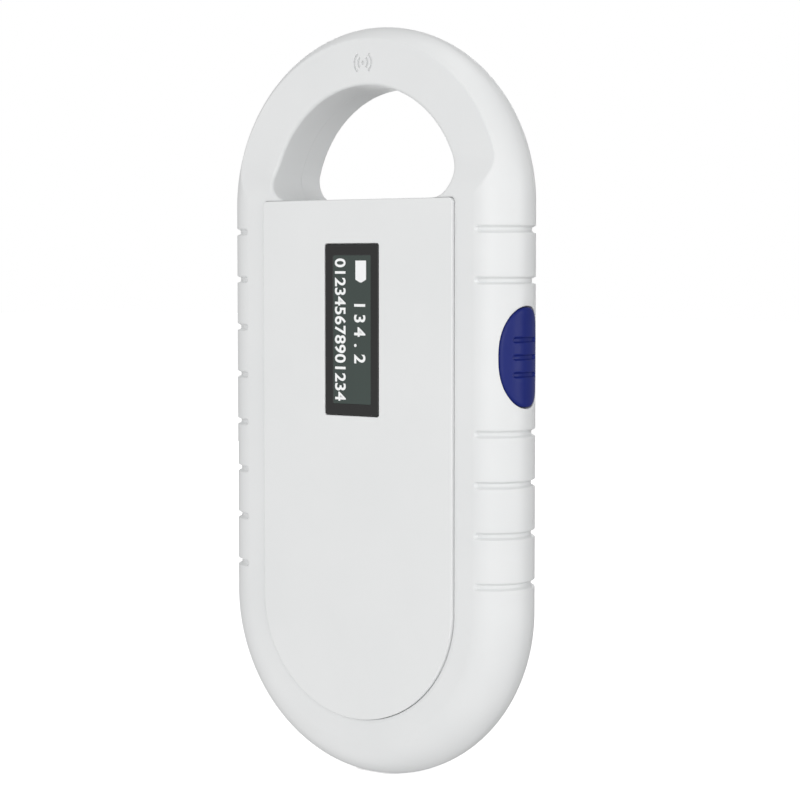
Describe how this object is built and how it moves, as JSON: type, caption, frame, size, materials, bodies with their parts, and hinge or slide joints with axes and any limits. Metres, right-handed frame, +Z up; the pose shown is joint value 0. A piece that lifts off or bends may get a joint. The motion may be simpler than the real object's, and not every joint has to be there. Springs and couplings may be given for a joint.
{
  "type": "microchip scanner",
  "caption": "Hand-held pet microchip scanner: pill-shaped two-shell housing with an antenna loop at the top, front display panel and a side push button.",
  "frame": {"origin": "centre of the housing's box, midway along its height, width and depth", "axes": "+Z up, towards the antenna loop; -Y out of the display face; +X to the button side"},
  "size_m": [0.064, 0.0164, 0.1357],
  "materials": {
    "shell": "satin moulded",
    "panel": "satin moulded",
    "tape": "adhesive film",
    "lens": "polished, tinted",
    "display_glass": "polished",
    "black_plastic": "moulded",
    "ribbon": "polyimide film",
    "circuit_board": "solder mask",
    "chip": "moulded epoxy",
    "capacitor": "ceramic",
    "steel": "plated",
    "ferrite": "sintered",
    "button": "satin moulded",
    "white_nylon": "moulded",
    "battery_foil": "satin foil",
    "foam": "foam",
    "lead_red": "silicone",
    "lead_black": "silicone",
    "copper_wire": "enamelled",
    "screw_steel": "zinc plated"
  },
  "bodies": {
    "housing": {"front_shell": "shell", "rear_shell": "shell", "front_panel": "panel", "panel_tape": "tape", "display_lens": "lens", "oled_glass": "display_glass", "display_carrier": "black_plastic", "display_ribbon": "ribbon", "main_pcb": "circuit_board", "mcu_chip": "chip", "rfid_chip": "chip", "charge_chip": "chip", "tuning_capacitor": "capacitor", "crystal": "steel", "power_inductor": "ferrite", "buzzer": "black_plastic", "usb_port": "steel", "switch_body": "black_plastic", "battery_cell": "battery_foil", "battery_pad": "foam", "battery_socket": "white_nylon", "battery_plug": "white_nylon", "battery_lead_positive": "lead_red", "battery_lead_negative": "lead_black", "antenna_coil": "copper_wire", "coil_lead_start": "copper_wire", "coil_lead_end": "copper_wire", "case_screw_upper_left": "screw_steel", "case_screw_upper_right": "screw_steel", "case_screw_lower_left": "screw_steel", "case_screw_lower_right": "screw_steel", "board_screw_left": "screw_steel", "board_screw_right": "screw_steel"},
    "button": {"button_cap": "button"},
    "plunger": {"switch_plunger": "white_nylon"}
  },
  "joints": [
    {"name": "button_press", "type": "slide", "parent": "housing", "child": "button", "axis": [-1, 0, 0], "range_m": [0, 0.0005], "stiffness_N_per_m": 2000},
    {"name": "plunger_press", "type": "slide", "parent": "housing", "child": "plunger", "axis": [-1, 0, 0], "range_m": [0, 0.0005]}
  ],
  "couplings": [
    {"joint": "plunger_press", "follows": "button_press", "ratio": 1}
  ]
}
